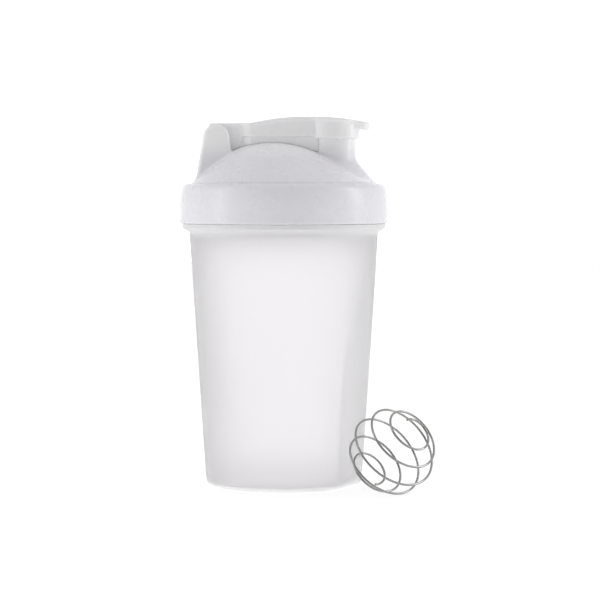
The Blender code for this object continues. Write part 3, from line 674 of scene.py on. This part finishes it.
def cap_field(x, y, z):
    top = cap_top(x)
    under_roof = z - top + 0.5 * CAP_ROOF
    spout_distance = np.hypot(x - SPOUT_X, y)
    tab_share = smooth_step((x - TAB_START_X + 0.5 * TAB_STEP_LENGTH) / TAB_STEP_LENGTH)
    thickness = CAP_ROOF + (TAB_THICKNESS - CAP_ROOF) * tab_share
    roof = blend_max(roof_plan(x, y, spout_distance), between(z, top - thickness, top), ROOF_EDGE_ROUND)
    half_width = arm_half_width(x)
    walls = between(np.abs(y), half_width - ARM_WALL, half_width)
    walls = np.maximum(walls, between(x, NECK_END_X, ARM_END_X))
    walls = np.maximum(blend_max(walls, ARM_BOTTOM - z, EDGE_ROUND), under_roof)
    rib_outside = half_width - ARM_RIB_INSET
    rib = between(np.abs(y), rib_outside - ARM_RIB_WALL, rib_outside)
    rib = np.maximum(rib, z - ARM_BOTTOM - 0.5 * OVERLAP)
    rib = np.maximum(rib, between(x, NECK_END_X, SPOUT_X))
    below = blend_min(dome_field(x, y, z), spout_field(x, y, z), LID_FILLET)
    walls = np.minimum(walls, blend_max(rib, ARM_RIB_GAP - below, ARM_RIB_ROUND))
    skirt = blend_max(between(spout_distance, SKIRT_BORE, SKIRT_RADIUS), SKIRT_BOTTOM - z, EDGE_ROUND)
    boss = between(spout_distance, BOSS_BORE, BOSS_RADIUS)
    lip = np.maximum(between(spout_distance, BOSS_BORE, BOSS_LIP_RADIUS), z - BOSS_LIP_TOP)
    boss = blend_max(np.minimum(boss, lip), BOSS_BOTTOM - z, BOSS_ROUND)
    rings = np.maximum(np.minimum(skirt, boss), under_roof)
    pins = np.hypot(x - HINGE_X, z - HINGE_Z) - TRUNNION_RADIUS
    pins = blend_max(pins, np.abs(y) - TRUNNION_END_Y, SMALL_ROUND)
    shell = blend_min(roof, np.minimum(walls, rings), EDGE_ROUND)
    solid = blend_min(shell, cap_neck_field(x, y, z, top), EDGE_ROUND)
    return np.minimum(solid, pins)


def make_flip_cap():
    return moulded_piece("pouring_cap", cap_field, cap_low, cap_high, CAP_CELL)


# ---------------------------------------------------------------- seals

def make_gasket():
    """A flat ring with rounded edges and a sealing bead on each face."""
    bead = GASKET_BEAD
    low, high = gasket_low.z, gasket_high.z
    bore = gasket_high.x - GASKET_WIDTH
    middle = 0.5 * (bore + gasket_high.x)
    profile = [(bore, low + bead), (middle - 3.0 * bead, low + bead)]
    profile += arc((middle, low + bead), bead, math.pi, 2.0 * math.pi)
    profile += [(middle + 3.0 * bead, low + bead)]
    profile += arc((gasket_high.x - bead, low + 2.0 * bead), bead, -0.5 * math.pi, 0.0)
    profile += arc((gasket_high.x - bead, high - 2.0 * bead), bead, 0.0, 0.5 * math.pi)
    profile += arc((middle, high - bead), bead, 0.0, math.pi)
    profile += [(bore + bead, high - bead), (bore, high - 2.0 * bead)]
    return turned_piece("lid_seal_ring", profile)


def make_spout_seal():
    """A sleeve with two soft ribs, pushed over the boss in the cap."""
    rib = SLEEVE_RIB
    outer = seal_high.x - SPOUT_X
    bore = BOSS_RADIUS + SLEEVE_GAP
    length = seal_high.z - seal_low.z
    profile = [(bore, seal_high.z), (bore, seal_low.z)]
    profile += arc((outer - 3.0 * rib, seal_low.z + rib), rib, -0.5 * math.pi, 0.0)
    for share in SLEEVE_RIB_PLACES:
        profile += arc((outer - rib, seal_low.z + share * length), rib, -0.5 * math.pi, 0.5 * math.pi)
    profile += arc((outer - 2.0 * rib, seal_high.z - rib), rib, 0.0, 0.5 * math.pi)
    return turned_piece("spout_plug_seal", profile, SPOUT_X, 96)


# ---------------------------------------------------------------- whisk ball

def wire_path():
    """Points along the wire, from one end ring over the ball to the other, centred on the ball."""
    heading = BALL_AXIS_HEADING
    level = math.cos(BALL_AXIS_TILT)
    axis = Vector((level * math.cos(heading), level * math.sin(heading), math.sin(BALL_AXIS_TILT)))
    side = Vector((-math.sin(heading), math.cos(heading), 0.0))
    third = axis.cross(side)
    span = math.pi - BALL_FIRST_EDGE - BALL_LAST_EDGE
    points = []
    for step in range(round((BALL_TURNS + BALL_CLOSING_TURNS) * WIRE_STEPS_PER_TURN) + 1):
        turn = step / WIRE_STEPS_PER_TURN
        share = min(turn / BALL_TURNS, 1.0)
        crowded = share - BALL_CROWDING * math.sin(FULL_TURN * share) / FULL_TURN
        polar = BALL_FIRST_EDGE + span * crowded
        around = BALL_START_PHASE - FULL_TURN * turn
        across = side * math.cos(around) + third * math.sin(around)
        points.append(BALL_RADIUS * (BALL_FLATTENING * math.cos(polar) * axis + math.sin(polar) * across))
    return points


def make_whisk_ball():
    """A round wire along the path, with rounded ends and a map that runs along it."""
    path = wire_path()
    last = len(path) - 1
    end_angles = np.linspace(0.15 * math.pi, 0.5 * math.pi, 4)
    stations = [(0, -math.cos(a), math.sin(a)) for a in end_angles]
    stations += [(index, 0.0, 1.0) for index in range(1, last)]
    stations += [(last, math.cos(a), math.sin(a)) for a in end_angles[::-1]]
    points = []
    for index, push, share in stations:
        forward = (path[min(index + 1, last)] - path[max(index - 1, 0)]).normalized()
        outward = (path[index] - forward * path[index].dot(forward)).normalized()
        across = forward.cross(outward)
        middle = path[index] + forward * (WIRE_RADIUS * push)
        for step in range(WIRE_SIDES):
            angle = FULL_TURN * step / WIRE_SIDES
            ring = math.cos(angle) * outward + math.sin(angle) * across
            points.append(middle + WIRE_RADIUS * share * ring)
    place = Vector((BALL_X, BALL_Y, -min(point.z for point in points)))
    faces = ring_faces(len(stations), WIRE_SIDES)
    faces.append(tuple(range(WIRE_SIDES))[::-1])
    first = len(points) - WIRE_SIDES
    faces.append(tuple(range(first, len(points))))
    piece = add_piece("whisk_wire", [point + place for point in points], faces)
    wire_map = piece.data.uv_layers.new(name="along_wire")
    for loop in piece.data.loops:
        row, column = divmod(loop.vertex_index, WIRE_SIDES)
        wire_map.data[loop.index].uv = (row / WIRE_STEPS_PER_TURN, column / WIRE_SIDES)
    return piece


# ---------------------------------------------------------------- materials

def new_material(name):
    """An empty material with a Principled shader, and a function that adds a node to it."""
    material = bpy.data.materials.new(name)
    material.use_nodes = True
    tree = material.node_tree
    shader = tree.nodes["Principled BSDF"]

    def add(kind, values=(), **links):
        node = tree.nodes.new(kind)
        for key, value in dict(values).items():
            if key in node.inputs:
                node.inputs[key].default_value = value
            else:
                setattr(node, key, value)
        for key, source in links.items():
            tree.links.new(source, node.inputs[key])
        return node

    return material, tree, shader, add


def noise(add, coordinates, scale, detail=3.0):
    node = add("ShaderNodeTexNoise", {"Scale": scale, "Detail": detail}, Vector=coordinates)
    return node.outputs["Fac"]


def ranged(add, value, low, high):
    """A noise value, which stays near its middle, spread from low to high."""
    limits = {"From Min": 0.3, "From Max": 0.7, "To Min": low, "To Max": high}
    return add("ShaderNodeMapRange", limits, Value=value).outputs["Result"]


def two_colours(add, value, colours, positions):
    """Colours between two, by a value that runs from one position to the other."""
    ramp = add("ShaderNodeValToRGB", Fac=value)
    for element, colour, position in zip(ramp.color_ramp.elements, colours, positions):
        element.position = position
        element.color = (*colour, 1.0)
    return ramp.outputs["Color"]


def moulded_plastic(name, colours, roughness, grain, grain_depth):
    """Plastic with a faint cloudiness, an uneven gloss and the fine texture of its mould."""
    material, tree, shader, add = new_material(name)
    place = add("ShaderNodeTexCoord").outputs["Object"]
    clouds = noise(add, place, 25.0, 0.0)
    tree.links.new(two_colours(add, clouds, colours, (0.25, 0.75)), shader.inputs["Base Color"])
    uneven = ranged(add, noise(add, place, 160.0), *roughness)
    tree.links.new(uneven, shader.inputs["Roughness"])
    texture = noise(add, place, grain)
    bump = add("ShaderNodeBump", {"Strength": 0.25, "Distance": grain_depth}, Height=texture)
    tree.links.new(bump.outputs["Normal"], shader.inputs["Normal"])
    return material, shader, tree, add


def height_share(add, low, high):
    """0 below one height of the bottle, 1 above another."""
    place = add("ShaderNodeTexCoord").outputs["Object"]
    height = add("ShaderNodeSeparateXYZ", Vector=place).outputs["Z"]
    return add("ShaderNodeMapRange", {"From Min": low, "From Max": high}, Value=height).outputs["Result"]


def white_plastic():
    """The lid's plastic; its upper parts are painted lighter by height, a painted glow for the light that
    passes through the thin plastic.
    """
    colours = ((0.848, 0.839, 0.877), (0.850, 0.841, 0.879))
    material, shader, tree, add = moulded_plastic(
        "white_plastic", colours, roughness=(0.27, 0.28), grain=1400.0, grain_depth=0.01 * MM)
    cloudy = shader.inputs["Base Color"].links[0].from_socket
    # painted glow: lid and cap painted lighter towards their tops, standing in for light let through the
    # thin plastic
    painted_glow_share = height_share(add, PAINTED_GLOW_LOW, PAINTED_GLOW_HIGH)
    mix = add("ShaderNodeMixRGB", {"Color2": PAINTED_GLOW_WHITE}, Fac=painted_glow_share, Color1=cloudy)
    tree.links.new(mix.outputs["Color"], shader.inputs["Base Color"])
    shader.inputs["IOR"].default_value = 1.49
    shader.inputs["Subsurface Weight"].default_value = 0.3
    shader.inputs["Subsurface Radius"].default_value = (1.0, 0.98, 1.05)
    shader.inputs["Subsurface Scale"].default_value = 1.0 * MM
    return material


def translucent_plastic():
    """The cup's clear milky plastic; it is milkier where it is thick, at the rim and at the foot."""
    colours = ((0.98, 0.971, 0.981), (0.985, 0.976, 0.986))
    material, shader, tree, add = moulded_plastic(
        "translucent_plastic", colours, roughness=(0.42, 0.46), grain=900.0, grain_depth=0.03 * MM)
    shader.inputs["IOR"].default_value = 1.40
    rim = height_share(add, CUP_BODY_TOP - CUP_MILKY_RIM, CUP_BODY_TOP)
    foot = height_share(add, CUP_MILKY_FOOT, 0.0)
    milky = add("ShaderNodeMath", {"operation": "MAXIMUM"})
    tree.links.new(rim, milky.inputs[0])
    tree.links.new(foot, milky.inputs[1])
    limits = {"To Min": CUP_CLARITY, "To Max": CUP_MILKY_CLARITY}
    clarity = add("ShaderNodeMapRange", limits, Value=milky.outputs[0])
    tree.links.new(clarity.outputs["Result"], shader.inputs["Transmission Weight"])
    return material


def silicone():
    """The soft, slightly waxy rubber of both seals."""
    colours = ((0.80, 0.80, 0.81), (0.84, 0.84, 0.85))
    material, shader, _, _ = moulded_plastic(
        "silicone", colours, roughness=(0.5, 0.65), grain=700.0, grain_depth=0.04 * MM)
    shader.inputs["Subsurface Weight"].default_value = 0.3
    shader.inputs["Subsurface Scale"].default_value = 1.0 * MM
    return material


def steel_wire():
    """Drawn wire: bright steel with fine marks that run along it."""
    material, tree, shader, add = new_material("steel_wire")
    along = add("ShaderNodeUVMap", {"uv_map": "along_wire"}).outputs["UV"]
    stretched = add("ShaderNodeMapping", {"Scale": (3.0, 24.0, 1.0)}, Vector=along).outputs["Vector"]
    marks = noise(add, stretched, 1.0, 4.0)
    colours = ((0.30, 0.297, 0.293), (0.42, 0.416, 0.412))
    tree.links.new(two_colours(add, marks, colours, (0.3, 0.7)), shader.inputs["Base Color"])
    tree.links.new(ranged(add, marks, 0.10, 0.18), shader.inputs["Roughness"])
    bump = add("ShaderNodeBump", {"Strength": 0.2, "Distance": 0.02 * MM}, Height=marks)
    tree.links.new(bump.outputs["Normal"], shader.inputs["Normal"])
    shader.inputs["Metallic"].default_value = 1.0
    return material


# ---------------------------------------------------------------- studio

def make_floor():
    """A wide sheet of white paper that glows a little, so that it has no visible end."""
    half = FLOOR_HALF_SIZE
    points = [(-half, -half, 0.0), (half, -half, 0.0), (half, half, 0.0), (-half, half, 0.0)]
    floor = add_piece("studio_floor", points, [(0, 1, 2, 3)])
    material, tree, shader, add = new_material("white_paper")
    place = add("ShaderNodeTexCoord").outputs["Object"]
    greys = ((0.33, 0.33, 0.33), (0.35, 0.35, 0.35))
    shade = two_colours(add, noise(add, place, 400.0), greys, (0.0, 1.0))
    tree.links.new(shade, shader.inputs["Base Color"])
    shader.inputs["Roughness"].default_value = 0.9
    shader.inputs["Emission Color"].default_value = (1.0, 1.0, 1.0, 1.0)
    shader.inputs["Emission Strength"].default_value = FLOOR_GLOW
    floor.data.materials.append(material)


def make_world():
    """A bright wall behind the bottle, dimmer sides, and a darker front."""
    world = bpy.data.worlds.new("studio")
    world.use_nodes = True
    bpy.context.scene.world = world
    tree = world.node_tree
    background = tree.nodes["Background"]
    direction = tree.nodes.new("ShaderNodeTexCoord")
    parts = tree.nodes.new("ShaderNodeSeparateXYZ")
    tree.links.new(direction.outputs["Generated"], parts.inputs[0])
    shade = tree.nodes.new("ShaderNodeMapRange")
    shade.inputs["From Min"].default_value = -1.0
    shade.inputs["From Max"].default_value = 0.0
    shade.inputs["To Min"].default_value = FRONT_GLOW
    shade.inputs["To Max"].default_value = SIDE_GLOW
    tree.links.new(parts.outputs["Y"], shade.inputs["Value"])
    wall = tree.nodes.new("ShaderNodeMapRange")
    wall.interpolation_type = "SMOOTHSTEP"
    wall.inputs["From Min"].default_value = WALL_EDGE
    wall.inputs["From Max"].default_value = WALL_CORE
    wall.inputs["To Max"].default_value = WALL_GLOW - SIDE_GLOW
    tree.links.new(parts.outputs["Y"], wall.inputs["Value"])
    glow = tree.nodes.new("ShaderNodeMath")
    glow.operation = "ADD"
    tree.links.new(shade.outputs["Result"], glow.inputs[0])
    tree.links.new(wall.outputs["Result"], glow.inputs[1])
    ray = tree.nodes.new("ShaderNodeLightPath")
    seen = tree.nodes.new("ShaderNodeMath")
    seen.operation = "MAXIMUM"
    tree.links.new(ray.outputs["Is Camera Ray"], seen.inputs[0])
    tree.links.new(glow.outputs[0], seen.inputs[1])
    tree.links.new(seen.outputs[0], background.inputs["Strength"])
    background.inputs["Color"].default_value = (1.0, 1.0, 1.0, 1.0)


def add_softbox(name, heading, elevation, distance, width, height, power):
    """A soft light that faces the bottle, its angles in degrees, the heading from -Y towards +X."""
    target = Vector((0.0, 0.0, 0.5 * cad_box[1][2]))
    heading, elevation = math.radians(heading), math.radians(elevation)
    level = math.cos(elevation)
    away = Vector((level * math.sin(heading), -level * math.cos(heading), math.sin(elevation)))
    light = bpy.data.lights.new(name, "AREA")
    light.shape = "RECTANGLE"
    light.size = width
    light.size_y = height
    light.energy = power
    lamp = bpy.data.objects.new(name, light)
    lamp.location = target + distance * away
    lamp.rotation_euler = away.to_track_quat("Z", "Y").to_euler()
    bpy.context.scene.collection.objects.link(lamp)


def make_camera():
    camera = bpy.data.objects.new("camera", bpy.data.cameras.new("camera"))
    camera.data.lens = CAMERA_LENS
    camera.location = (CAMERA_X, -CAMERA_DISTANCE, CAMERA_HEIGHT)
    aim = Vector((CAMERA_X, 0.0, CAMERA_AIM_HEIGHT))
    camera.rotation_euler = (aim - camera.location).to_track_quat("-Z", "Y").to_euler()
    bpy.context.scene.collection.objects.link(camera)
    bpy.context.scene.camera = camera


def place_piece(piece, node, body, material):
    piece.data.materials.append(material)
    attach(piece, body)
    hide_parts(node)


white = white_plastic()
soft = silicone()
place_piece(make_cup(), "cup", "cup", translucent_plastic())
place_piece(make_lid(), "lid", "lid", white)
place_piece(make_flip_cap(), "flip_cap", "flip_cap", white)
place_piece(make_gasket(), "lid_gasket", "gasket", soft)
place_piece(make_spout_seal(), "spout_seal", "flip_cap", soft)
place_piece(make_whisk_ball(), "whisk_ball", "whisk_ball", steel_wire())

make_floor()
make_world()
add_softbox(
    "left_softbox", heading=-70.0, elevation=22.0, distance=0.35, width=0.09, height=0.28, power=0.17)
add_softbox(
    "right_softbox", heading=86.0, elevation=22.0, distance=0.65, width=0.13, height=0.45, power=0.72)
add_softbox(
    "top_softbox", heading=0.0, elevation=80.0, distance=0.85, width=0.40, height=0.40, power=0.2)
make_camera()
bpy.context.scene.view_settings.view_transform = "Standard"

bpy.context.view_layer.update()
